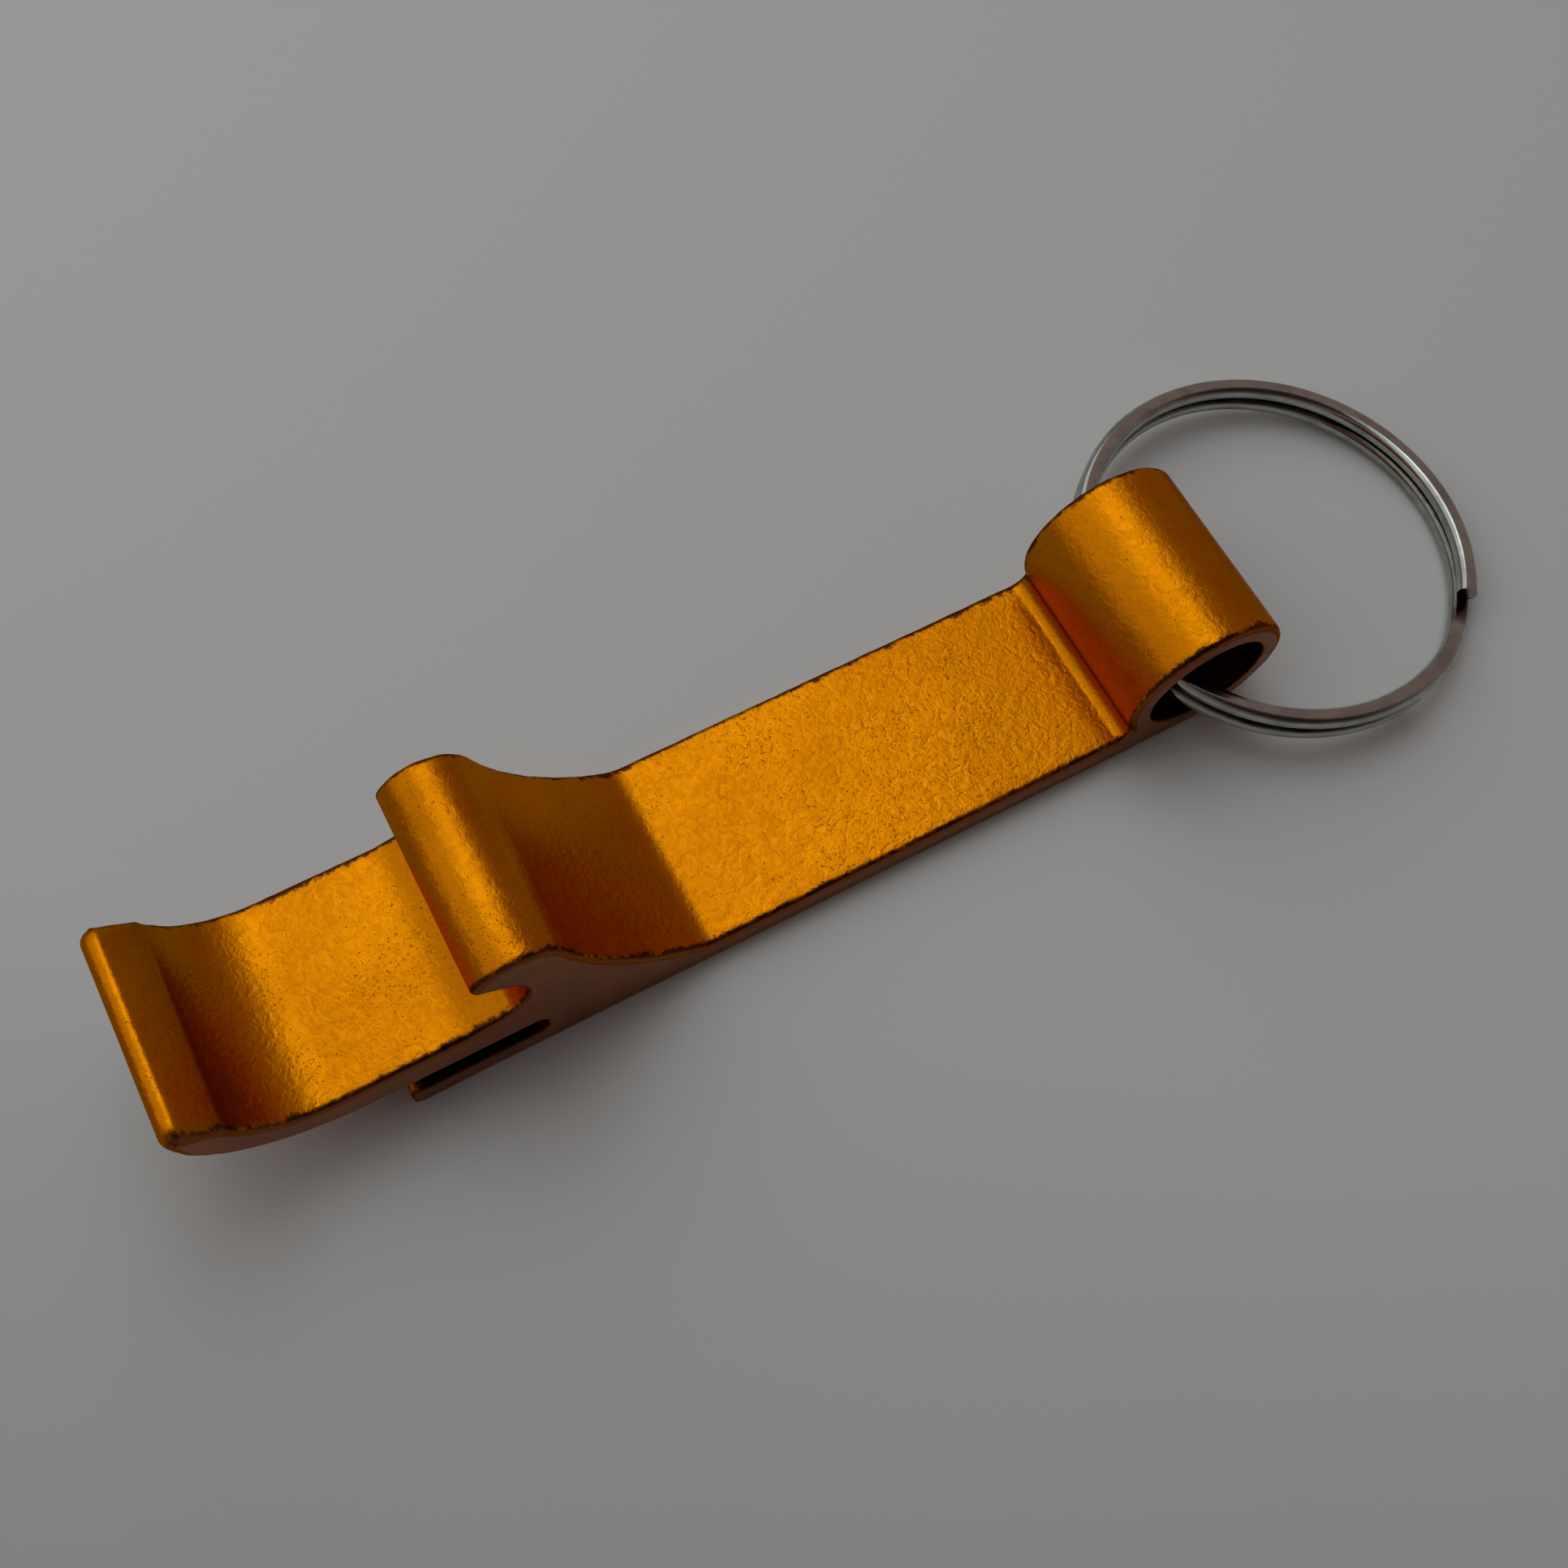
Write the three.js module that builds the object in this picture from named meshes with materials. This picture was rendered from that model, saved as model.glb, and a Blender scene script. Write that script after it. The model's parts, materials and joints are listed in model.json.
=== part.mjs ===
// Keychain bottle opener: one aluminium extrusion and the split ring in its eye.
// Millimetres, +Z up. The origin is the middle of the flat underside,
// +X runs along the body towards the ring, and the profile is drawn in X and Z.
import * as THREE from 'three';

// Opener body: overall
const bodyWidth = 12;
const handleThickness = 2;
const hookFromEye = 42.15; // eye axis to the centre of the hook's crown
const mouthLength = 10.3; // crown centre to where the tip starts to curl up
const edgeRounding = 0.4; // tumbled edges along both sawn sides

// Eye for the ring
const boreDiameter = 7.3;
const eyeWall = 1.35;
const eyeFillet = 0.8; // where the handle runs into the eye

// Hook: a curved ramp up from the handle, a round crown and a nose over a notch
const hookHeight = 13.6;
const crownRadius = 2.75;
const crownBackAngle = 32;
const crownNoseAngle = 148;
const noseRounding = 0.45;
const notchRadius = 2.3;
const notchSetBack = 2.1; // notch centre from the crown centre, towards the tip
const notchDrop = 1.85; // and below it
const notchTopAngle = 60;
const notchFootAngle = -40;
const notchFootFillet = 1;
const footSlope = 15.6; // the plate rises at this slope into the notch
const footReach = 3.4; // crown centre to where the rise starts
const footBlend = 5;
const rampRadius = 19;
const rampFillet = 2;
const rampSteepness = 71; // slope of the ramp's top, in degrees
const creaseBehindCrown = 2.65; // the ramp's top edge, from the crown centre
const creaseBelowTop = 1.9;

// Tip plate: the cap rests on it, and its end curls up into a lip
const plateThickness = 2.55;
const lipHeight = 12.1;
const lipInnerRadius = 5.1;
const lipInnerSweep = 78;
const lipLandSlope = 46;
const lipLandRounding = 0.45;
const lipOuterRounding = 0.8;
const tipRadius = 8.5;
const tipCurlLead = 0.7; // the underside starts to curl this much before the top

// Can tab slot, and the tongue under it
const tongueThickness = 1.7;
const tongueRounding = 0.6;
const tongueOverhang = 7.35; // crown centre to the tongue's end
const slotHeight = 2;
const slotDepth = 8;
const slotRounding = 0.7;

// Split ring: round wire, pressed flat on two sides, wound two turns
const ringOuterDiameter = 25;
const wireDiameter = 1.18;
const coilGap = 0.1;
const wireFlatDepth = 0.08; // pressed off the wire's round, above and below
const ringSeatAngle = 40; // where the wire rests in the bore, from straight down
const ringSeatClearance = 0.2;
const ringSideShift = 0.5;
const topEndAngle = -41; // the wire's upper cut end, seen along the ring's axis
const bottomEndAngle = -76;
const endGap = 2.5; // degrees between the lower end and the step

// Faceting
const chordError = 0.012;
const shortestEdge = 0.06;
const roundingSegments = 2;
const wireSegment = 5; // degrees

// Sizes that follow from the ones above
const eyeRadius = boreDiameter / 2 + eyeWall;
const plateTop = tongueThickness + slotHeight + plateThickness;
const plateUnderside = tongueThickness + slotHeight;
const tongueReach = hookFromEye + tongueOverhang;
const eyeX = (tongueReach - tongueRounding) / 2;
const crownX = eyeX - hookFromEye;
const tongueTipX = eyeX - tongueReach;
const curlX = crownX - mouthLength;
const wireRadius = wireDiameter / 2;
const coilRadius = ringOuterDiameter / 2 - wireRadius;
const flatOffset = wireRadius - wireFlatDepth; // wire centre to its flat
const coilRise = flatOffset + coilGap / 2; // ring's middle plane to a coil's centre

const radians = (degrees) => THREE.MathUtils.degToRad(degrees);
const degrees = (radian) => THREE.MathUtils.radToDeg(radian);
const point = (x, z) => new THREE.Vector2(x, z);

function onCircle(centre, radius, angle) {
  return point(centre.x + radius * Math.cos(radians(angle)), centre.y + radius * Math.sin(radians(angle)));
}

function angleOf(from, to) {
  return degrees(Math.atan2(to.y - from.y, to.x - from.x));
}

// Points along an arc, both ends included, with facets that stay within the chord error
function arc(centre, radius, startAngle, endAngle) {
  const facet = 2 * degrees(Math.acos(1 - chordError / radius));
  const count = Math.max(2, Math.ceil(Math.abs(endAngle - startAngle) / facet));
  const steps = Array.from({ length: count + 1 }, (_, i) => i / count);
  return steps.map((t) => onCircle(centre, radius, startAngle + (endAngle - startAngle) * t));
}

// Fillet of a corner between two straight edges, no larger than the shorter edge has room for
function roundCorner(before, corner, after, radius) {
  const back = before.clone().sub(corner);
  const ahead = after.clone().sub(corner);
  const room = Math.min(back.length(), ahead.length());
  back.normalize();
  ahead.normalize();
  const halfAngle = Math.acos(THREE.MathUtils.clamp(back.dot(ahead), -1, 1)) / 2;
  const touch = Math.min(radius / Math.tan(halfAngle), room);
  const fillet = touch * Math.tan(halfAngle);
  const bisector = back.clone().add(ahead).normalize();
  const centre = corner.clone().addScaledVector(bisector, fillet / Math.sin(halfAngle));
  const start = angleOf(centre, corner.clone().addScaledVector(back, touch));
  const end = angleOf(centre, corner.clone().addScaledVector(ahead, touch));
  const turn = ((end - start + 540) % 360) - 180; // the short way round
  return arc(centre, fillet, start, start + turn);
}

// Centre of a fillet inside a circle that also touches the level line z = level.
// side is -1 or +1 for the line's left or right crossing, up is +1 for a fillet above the line.
function insideFilletCentre(centre, radius, level, fillet, side, up) {
  const z = level + up * fillet;
  const reach = Math.sqrt((radius - fillet) ** 2 - (centre.y - z) ** 2);
  return point(centre.x + side * reach, z);
}

function eyeOutline() {
  const eye = point(eyeX, eyeRadius);
  const filletZ = handleThickness + eyeFillet;
  const span = Math.sqrt((eyeRadius + eyeFillet) ** 2 - (eyeRadius - filletZ) ** 2);
  const fillet = point(eyeX - span, filletZ);
  const contact = angleOf(fillet, eye);
  return [
    ...arc(eye, eyeRadius, -90, 180 + contact),
    ...arc(fillet, eyeFillet, contact, -90),
  ];
}

function hookOutline() {
  const crown = point(crownX, hookHeight - crownRadius);
  const crease = point(crownX + creaseBehindCrown, hookHeight - creaseBelowTop);
  const rampCentre = onCircle(crease, rampRadius, 90 - rampSteepness);
  const foot = insideFilletCentre(rampCentre, rampRadius, handleThickness, rampFillet, -1, 1);
  const rampStart = 360 + angleOf(rampCentre, foot);

  const notch = point(crownX - notchSetBack, crown.y - notchDrop);
  const notchTop = onCircle(notch, notchRadius, notchTopAngle);
  const notchFoot = onCircle(notch, notchRadius, notchFootAngle);
  const noseStart = onCircle(crown, crownRadius, crownNoseAngle);
  const nose = crossing(noseStart, crownNoseAngle + 90, notchTop, notchTopAngle + 90);
  const plateEdge = point(crownX - footReach, plateTop);
  const footCorner = crossing(notchFoot, notchFootAngle - 90, plateEdge, 180 + footSlope);
  return [
    ...arc(foot, rampFillet, 270, rampStart),
    ...arc(rampCentre, rampRadius, rampStart, 270 - rampSteepness),
    ...arc(crown, crownRadius, crownBackAngle, crownNoseAngle),
    ...roundCorner(noseStart, nose, notchTop, noseRounding),
    ...arc(notch, notchRadius, notchTopAngle, notchFootAngle),
    ...roundCorner(notchFoot, footCorner, plateEdge, notchFootFillet),
    ...roundCorner(footCorner, plateEdge, point(curlX, plateTop), footBlend),
  ];
}

// Where the line through a at one angle meets the line through b at another
function crossing(a, angleA, b, angleB) {
  const alongA = point(Math.cos(radians(angleA)), Math.sin(radians(angleA)));
  const alongB = point(Math.cos(radians(angleB)), Math.sin(radians(angleB)));
  const between = b.clone().sub(a);
  const distance = between.cross(alongB) / alongA.cross(alongB);
  return a.clone().addScaledVector(alongA, distance);
}

function tipOutline() {
  const inner = point(curlX, plateTop + lipInnerRadius);
  const outer = point(curlX + tipCurlLead, plateUnderside + tipRadius);
  const innerEnd = onCircle(inner, lipInnerRadius, -90 - lipInnerSweep);
  const landTop = crossing(innerEnd, 180 - lipLandSlope, point(curlX, lipHeight), 180);
  const shoulder = insideFilletCentre(outer, tipRadius, lipHeight, lipOuterRounding, -1, -1);
  const outerStart = 360 + angleOf(outer, shoulder);
  return [
    ...arc(inner, lipInnerRadius, -90, -90 - lipInnerSweep),
    ...roundCorner(innerEnd, landTop, point(shoulder.x, lipHeight), lipLandRounding),
    ...arc(shoulder, lipOuterRounding, 90, outerStart),
    ...arc(outer, tipRadius, outerStart, 270),
  ];
}

function slotOutline() {
  const slotEndX = tongueTipX + slotDepth;
  const topEnd = point(slotEndX, plateUnderside);
  const bottomEnd = point(slotEndX, tongueThickness);
  const tongueTop = point(tongueTipX, tongueThickness);
  const tongueBottom = point(tongueTipX, 0);
  return [
    ...roundCorner(point(curlX, plateUnderside), topEnd, bottomEnd, slotRounding),
    ...roundCorner(topEnd, bottomEnd, tongueTop, slotRounding),
    ...roundCorner(bottomEnd, tongueTop, tongueBottom, tongueRounding),
    ...roundCorner(tongueTop, tongueBottom, point(eyeX, 0), tongueRounding),
  ];
}

// Drops each point that all but repeats the last one kept, or that closes the loop again
function withoutRepeats(points) {
  const kept = [points[0]];
  for (const next of points) {
    const isNew = next.distanceTo(kept.at(-1)) > shortestEdge && next.distanceTo(points[0]) > shortestEdge;
    if (isNew) kept.push(next);
  }
  return kept;
}

function makeBody() {
  const profile = new THREE.Shape(withoutRepeats([
    ...eyeOutline(),
    ...hookOutline(),
    ...tipOutline(),
    ...slotOutline(),
  ]));
  const bore = arc(point(eyeX, eyeRadius), boreDiameter / 2, 360, 0);
  profile.holes.push(new THREE.Path(withoutRepeats(bore)));
  const geometry = new THREE.ExtrudeGeometry(profile, {
    depth: bodyWidth - 2 * edgeRounding,
    bevelThickness: edgeRounding,
    bevelSize: edgeRounding,
    bevelOffset: -edgeRounding,
    bevelSegments: roundingSegments,
  });
  geometry.translate(0, 0, edgeRounding - bodyWidth / 2);
  const anodised = new THREE.MeshStandardMaterial({ color: 0xd8860b, roughness: 0.38, metalness: 0.9 });
  const body = new THREE.Mesh(geometry, anodised);
  body.name = 'opener_body';
  body.rotation.x = Math.PI / 2;
  return body;
}

// The wire's path: two turns about Z, the upper one stepping down between the wire's two ends.
// Its frames keep the wire's flat level, so the two coils lie face to face.
class CoilCurve extends THREE.Curve {
  startAngle = topEndAngle;
  stepStart = bottomEndAngle + 360;
  stepEnd = topEndAngle + 360;
  endAngle = bottomEndAngle - endGap + 720;

  angleAt(t) {
    return THREE.MathUtils.lerp(this.startAngle, this.endAngle, t);
  }

  getPoint(t, target = new THREE.Vector3()) {
    const angle = this.angleAt(t);
    const down = THREE.MathUtils.smootherstep(angle, this.stepStart, this.stepEnd);
    const rise = coilRise * (1 - 2 * down);
    return target.set(coilRadius * Math.cos(radians(angle)), coilRadius * Math.sin(radians(angle)), rise);
  }

  computeFrenetFrames(segments) {
    const frames = { tangents: [], normals: [], binormals: [] };
    for (let i = 0; i <= segments; i += 1) {
      const t = this.getUtoTmapping(i / segments);
      const angle = radians(this.angleAt(t));
      frames.tangents.push(this.getTangent(t));
      frames.normals.push(new THREE.Vector3(-Math.cos(angle), -Math.sin(angle), 0));
      frames.binormals.push(new THREE.Vector3(0, 0, 1));
    }
    return frames;
  }
}

// The wire's section: round, pressed flat above and below so that the coils lie face to face
function wireSection() {
  const flatEdge = degrees(Math.asin(flatOffset / wireRadius));
  const centre = point(0, 0);
  return new THREE.Shape([
    ...arc(centre, wireRadius, -flatEdge, flatEdge),
    ...arc(centre, wireRadius, 180 - flatEdge, 180 + flatEdge),
  ]);
}

function makeRing() {
  const path = new CoilCurve();
  const geometry = new THREE.ExtrudeGeometry(wireSection(), {
    steps: Math.round((path.endAngle - path.startAngle) / wireSegment),
    extrudePath: path,
  });
  const nickel = new THREE.MeshStandardMaterial({ color: 0x9a9590, roughness: 0.22, metalness: 1 });
  const ring = new THREE.Mesh(geometry, nickel);
  ring.name = 'split_ring';
  return ring;
}

// The ring hangs on the eye's axis. Its lower coil rests low in the bore on the handle's side,
// and it leans down from there until its far side lies on the table.
function hangRing() {
  const seatRadius = boreDiameter / 2 - wireRadius - ringSeatClearance;
  const seat = onCircle(point(0, 0), seatRadius, -90 - ringSeatAngle);
  const tilt = Math.asin((eyeRadius + seat.y - wireRadius) / (2 * coilRadius));
  const seatInPlane = seat.rotateAround(point(0, 0), tilt);
  const pivot = new THREE.Group();
  pivot.position.set(eyeX, 0, eyeRadius);
  pivot.rotation.y = tilt;
  const ring = makeRing();
  ring.position.set(seatInPlane.x + coilRadius, ringSideShift, seatInPlane.y + coilRise);
  pivot.add(ring);
  return pivot;
}

const opener = new THREE.Group();
opener.add(makeBody(), hangRing());

export default opener;
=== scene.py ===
import json
import math
import bmesh
import bpy
from mathutils import Matrix, Vector


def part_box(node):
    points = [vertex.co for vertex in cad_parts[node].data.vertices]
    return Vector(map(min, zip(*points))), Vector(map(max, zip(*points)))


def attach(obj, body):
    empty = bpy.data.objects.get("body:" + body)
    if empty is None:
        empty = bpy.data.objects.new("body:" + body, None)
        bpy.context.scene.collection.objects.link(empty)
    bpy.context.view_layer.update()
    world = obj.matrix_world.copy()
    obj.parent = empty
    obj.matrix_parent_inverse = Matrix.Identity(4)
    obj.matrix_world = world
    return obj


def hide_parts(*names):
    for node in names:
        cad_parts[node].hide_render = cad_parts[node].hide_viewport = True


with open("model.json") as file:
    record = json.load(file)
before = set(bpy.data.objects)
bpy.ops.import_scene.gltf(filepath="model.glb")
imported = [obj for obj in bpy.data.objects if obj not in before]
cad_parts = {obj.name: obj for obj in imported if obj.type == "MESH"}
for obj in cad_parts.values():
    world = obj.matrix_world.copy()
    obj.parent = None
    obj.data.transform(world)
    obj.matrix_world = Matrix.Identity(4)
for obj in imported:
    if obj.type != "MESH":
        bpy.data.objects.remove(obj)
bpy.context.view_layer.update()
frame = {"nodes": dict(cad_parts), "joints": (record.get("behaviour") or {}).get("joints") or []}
mm = 0.001
mergeDistance = 0.002 * mm
eyeAxis = Vector(frame["joints"][0]["pos_m"]) / mm  # the ring's joint runs through the middle of the eye
print("frame loaded:", ", ".join(sorted(frame["nodes"])))


cameraView = {
    "azimuth": -32.312,  # degrees, turned from the near side
    "elevation": 66.191,
    "roll": 4.435,
    "lens": 40.09,
    "distance": 101.6,  # millimetres
    "target": (1.25, 1.44, 0.0),
    "sensor": 36,
    "clip": (0.005, 20),  # metres
}


def placeCamera(view):
    azimuth = math.radians(view["azimuth"])
    elevation = math.radians(view["elevation"])
    roll = math.radians(view["roll"])
    flat = math.cos(elevation)
    back = Vector((math.sin(azimuth) * flat, -math.cos(azimuth) * flat, math.sin(elevation)))
    right = Vector((0, 0, 1)).cross(back).normalized()
    up = back.cross(right)
    axisX = math.cos(roll) * right + math.sin(roll) * up
    axisY = math.cos(roll) * up - math.sin(roll) * right
    data = bpy.data.cameras.new("camera")
    data.lens = view["lens"]
    data.sensor_width = view["sensor"]
    data.clip_start, data.clip_end = view["clip"]
    camera = bpy.data.objects.new("camera", data)
    turn = Matrix((axisX, axisY, back)).transposed().to_4x4()
    place = Vector(view["target"]) * mm + back * view["distance"] * mm
    camera.matrix_world = Matrix.Translation(place) @ turn
    bpy.context.scene.collection.objects.link(camera)
    bpy.context.scene.camera = camera


placeCamera(cameraView)
print("camera placed")


# Adds one node. wires gives its inputs, by name or number, as plain values or other nodes' outputs.
def addNode(tree, kind, wires=None, **settings):
    node = tree.nodes.new(kind)
    for name, value in settings.items():
        setattr(node, name, value)
    for key, value in (wires or {}).items():
        if isinstance(value, bpy.types.NodeSocket):
            tree.links.new(value, node.inputs[key])
        else:
            node.inputs[key].default_value = value
    return node


def calc(tree, operation, *values):
    return addNode(tree, "ShaderNodeMath", dict(enumerate(values)), operation=operation).outputs[0]


def calcVector(tree, operation, *values):
    node = addNode(tree, "ShaderNodeVectorMath", dict(enumerate(values)), operation=operation)
    return node.outputs[0]


def dotProduct(tree, first, second):
    node = addNode(tree, "ShaderNodeVectorMath", {0: first, 1: second}, operation="DOT_PRODUCT")
    return node.outputs["Value"]


def vectorTimes(tree, vector, scale):
    node = addNode(tree, "ShaderNodeVectorMath", {0: vector, "Scale": scale}, operation="SCALE")
    return node.outputs[0]


def storedNumber(tree, name, kind="FLOAT"):
    return addNode(tree, "GeometryNodeInputNamedAttribute", {"Name": name}, data_type=kind).outputs[0]


# Spreads the nodes over the editor so that the tree can be read.
def layOut(tree, rows=5, columnWidth=230, rowHeight=210):
    for number, node in enumerate(tree.nodes):
        node.location = (number // rows * columnWidth, -(number % rows) * rowHeight)


def newNodeTree(name, inputs, outputs):
    tree = bpy.data.node_groups.new(name, "GeometryNodeTree")
    for label, kind in inputs:
        tree.interface.new_socket(label, in_out="INPUT", socket_type=kind)
    for label, kind in outputs:
        tree.interface.new_socket(label, in_out="OUTPUT", socket_type=kind)
    return tree, tree.nodes.new("NodeGroupInput").outputs, tree.nodes.new("NodeGroupOutput")


# Runs a node tree on a mesh, and returns the result as a plain mesh.
def runTree(tree, mesh, values):
    carrier = bpy.data.objects.new("carrier", mesh)
    bpy.context.scene.collection.objects.link(carrier)
    modifier = carrier.modifiers.new("build", "NODES")
    modifier.node_group = tree
    for item in tree.interface.items_tree:
        if item.in_out == "INPUT" and item.name in values:
            modifier[item.identifier] = values[item.name]
    depsgraph = bpy.context.evaluated_depsgraph_get()
    result = bpy.data.meshes.new_from_object(carrier.evaluated_get(depsgraph), depsgraph=depsgraph)
    bpy.data.objects.remove(carrier)
    return result


def pieceFrom(mesh, name):
    mesh.name = name
    piece = bpy.data.objects.new(name, mesh)
    bpy.context.scene.collection.objects.link(piece)
    return piece


def newFinish(name):
    material = bpy.data.materials.new(name)
    material.use_nodes = True
    tree = material.node_tree
    shader = tree.nodes["Principled BSDF"]
    place = addNode(tree, "ShaderNodeTexCoord").outputs["Object"]
    return material, tree, shader, place


def noise(tree, place, scale, detail=2.0, roughness=0.5, distortion=0.0):
    wires = {"Vector": place, "Scale": scale, "Detail": detail}
    wires.update({"Roughness": roughness, "Distortion": distortion})
    return addNode(tree, "ShaderNodeTexNoise", wires).outputs["Fac"]


# Maps a number from one range to another, and keeps it there.
def remap(tree, value, low, high, toLow=0.0, toHigh=1.0):
    wires = {"Value": value, "From Min": low, "From Max": high, "To Min": toLow, "To Max": toHigh}
    return addNode(tree, "ShaderNodeMapRange", wires).outputs[0]


# Mixes two colours, each given as three numbers or as another node's output.
def mixColours(tree, factor, first, second, blend="MIX"):
    wires = {0: factor}
    for key, colour in ((6, first), (7, second)):
        wires[key] = colour if isinstance(colour, bpy.types.NodeSocket) else (*colour, 1)
    return addNode(tree, "ShaderNodeMix", wires, data_type="RGBA", blend_type=blend).outputs[2]


def bump(tree, height, distance, strength=1.0, under=None):
    wires = {"Height": height, "Distance": distance, "Strength": strength}
    if under:
        wires["Normal"] = under
    return addNode(tree, "ShaderNodeBump", wires).outputs[0]


# Sizes and depths are in millimetres. A threshold is the noise value past which a mark shows.
skinFinish = {
    "lightDye": (0.60, 0.192, 0.001),
    "deepDye": (0.52, 0.158, 0.001),
    "edgeDye": (0.085, 0.026, 0.006),  # where tumbling bruised the edges
    "lowEdgeDye": (0.26, 0.085, 0.028),  # and below that, towards the sawn face
    "paintedShadeColour": (0.05, 0.014, 0.004),  # painted shade in the slot, the bore, the hollows and the crease
    "glancingTint": (0.80, 0.50, 0.28),
    "driftSize": 6.0,
    "patchSize": 4.0,
    "pebbleSize": 0.30,
    "pebbleDepth": 0.018,
    "pebbleTone": 0.90,
    "lumpSize": 0.75,
    "lumpDepth": 0.034,
    "pitSize": 0.16,
    "pitDepth": 0.012,
    "pitTone": 0.66,
    "pitThresholds": (0.78, 0.645),  # where pits are few, and where they crowd together
    "pitSoftness": 0.07,
    "bruiseSize": 0.6,
    "bruiseReach": (5.22, 5.9),  # across the body, from its middle
    "bruiseThresholds": (0.84, 0.30),  # at either end of that reach
    "bruisePatches": (-0.07, 0.11),  # what the patches take from the threshold or add to it
    "bruiseSoftness": (-0.04, 0.10),
    "lowEdgeTurn": 0.3,  # how far round the edge the low colour comes, before the ragged part is added
    "lowEdgeRagged": 0.5,
    "lowEdgeSoftness": 0.1,
    "roughness": (0.30, 0.40),
}


def makeSkin(look):
    material, tree, shader, place = newFinish("anodised_skin")
    wall = addNode(tree, "ShaderNodeAttribute", attribute_name="wall").outputs["Fac"]
    paintedShade = addNode(tree, "ShaderNodeAttribute", attribute_name="paintedShade").outputs["Fac"]
    drift = noise(tree, place, 1 / (look["driftSize"] * mm), 3)
    patch = noise(tree, place, 1 / (look["patchSize"] * mm), 2)
    pebble = noise(tree, place, 1 / (look["pebbleSize"] * mm), 2, 0.55, 0.8)
    lump = noise(tree, place, 1 / (look["lumpSize"] * mm), 2, 0.5, 1.4)
    speck = noise(tree, place, 1 / (look["pitSize"] * mm), 1, 0.5, 0.4)

    # dark pits crowd together in patches
    crowd = remap(tree, patch, 0.35, 0.65, *look["pitThresholds"])
    pit = remap(tree, calc(tree, "SUBTRACT", speck, crowd), 0.0, look["pitSoftness"])
    dye = mixColours(tree, remap(tree, drift, 0.35, 0.65), look["deepDye"], look["lightDye"])
    pebbleTone = remap(tree, pebble, 0.3, 0.62, look["pebbleTone"], 1.0)
    pitTone = remap(tree, pit, 0.0, 1.0, 1.0, look["pitTone"])
    shade = mixColours(tree, 1.0, dye, calc(tree, "MULTIPLY", pebbleTone, pitTone), "MULTIPLY")

    # bruises reach over the edge by a ragged line, more in some stretches than in others
    ragged = noise(tree, place, 1 / (look["bruiseSize"] * mm), 4, 0.7)
    across = calc(tree, "ABSOLUTE", addNode(tree, "ShaderNodeSeparateXYZ", {0: place}).outputs["Y"])
    nearest, farthest = look["bruiseReach"]
    limit = remap(tree, across, nearest * mm, farthest * mm, *look["bruiseThresholds"])
    limit = calc(tree, "ADD", limit, remap(tree, patch, 0.38, 0.62, *look["bruisePatches"]))
    bruise = remap(tree, calc(tree, "SUBTRACT", ragged, limit), *look["bruiseSoftness"])
    turn = calc(tree, "SUBTRACT", look["lowEdgeTurn"], wall)
    turn = calc(tree, "MULTIPLY_ADD", ragged, look["lowEdgeRagged"], turn)
    low = remap(tree, turn, -look["lowEdgeSoftness"], look["lowEdgeSoftness"])
    worked = mixColours(tree, bruise, shade, look["edgeDye"])
    worked = mixColours(tree, low, worked, look["lowEdgeDye"])

    # painted shade: the slot, the bore and the hollows are darkened, but for the edges along the sawn
    # faces
    paintedShadeMask = calc(tree, "MULTIPLY", paintedShade, remap(tree, wall, 0.1, 0.8))
    tree.links.new(mixColours(tree, paintedShadeMask, worked, look["paintedShadeColour"]), shader.inputs["Base Color"])
    shader.inputs["Specular Tint"].default_value = (*look["glancingTint"], 1)
    tree.links.new(remap(tree, lump, 0.3, 0.7, *look["roughness"]), shader.inputs["Roughness"])

    relief = bump(tree, lump, look["lumpDepth"] * mm)
    relief = bump(tree, pebble, look["pebbleDepth"] * mm, under=relief)
    relief = bump(tree, calc(tree, "SUBTRACT", 1.0, pit), look["pitDepth"] * mm, under=relief)
    tree.links.new(relief, shader.inputs["Normal"])
    shader.inputs["Metallic"].default_value = 1
    layOut(tree)
    return material


sawnFinish = {
    # both colours are darker than the skin's: painted shade, as the near sawn face reflects the shaded
    # floor; the saw grain and roughness are the face's own
    "dye": (0.36, 0.115, 0.035),
    "darkDye": (0.28, 0.09, 0.03),
    "driftSize": 2.2,  # millimetres
    "grainSize": 0.16,
    "grainStretch": 0.25,  # the saw's grain is longer along the body
    "grainDepth": 0.008,
    "roughness": (0.42, 0.52),
}


def makeSawnFace(look):
    material, tree, shader, place = newFinish("anodised_sawn_face_shaded")
    drift = noise(tree, place, 1 / (look["driftSize"] * mm), 3)
    wires = {"Vector": place, "Scale": (look["grainStretch"], 1, 1)}
    stretched = addNode(tree, "ShaderNodeMapping", wires).outputs[0]
    fine = noise(tree, stretched, 1 / (look["grainSize"] * mm), 3, 0.6)
    # painted shade: a darker copy of the skin's colour
    colour = mixColours(tree, remap(tree, drift, 0.3, 0.7), look["darkDye"], look["dye"])
    tree.links.new(colour, shader.inputs["Base Color"])
    tree.links.new(remap(tree, fine, 0.3, 0.7, *look["roughness"]), shader.inputs["Roughness"])
    tree.links.new(bump(tree, fine, look["grainDepth"] * mm), shader.inputs["Normal"])
    shader.inputs["Metallic"].default_value = 1
    layOut(tree)
    return material


wireFinish = {
    "bright": (0.46, 0.485, 0.45),
    "dull": (0.32, 0.34, 0.31),
    "nearGapColour": (0.055, 0.038, 0.024),
    "roughness": (0.13, 0.22),
    "cloudSize": 1.6,  # millimetres
    "grainSize": 0.12,
    "grainDepth": 0.003,
    "nearGapReach": (0.34, 0.05),  # from the gap between the coils, where the darkening ends and is full
    "nearGapRagged": 0.5,
}


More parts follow.
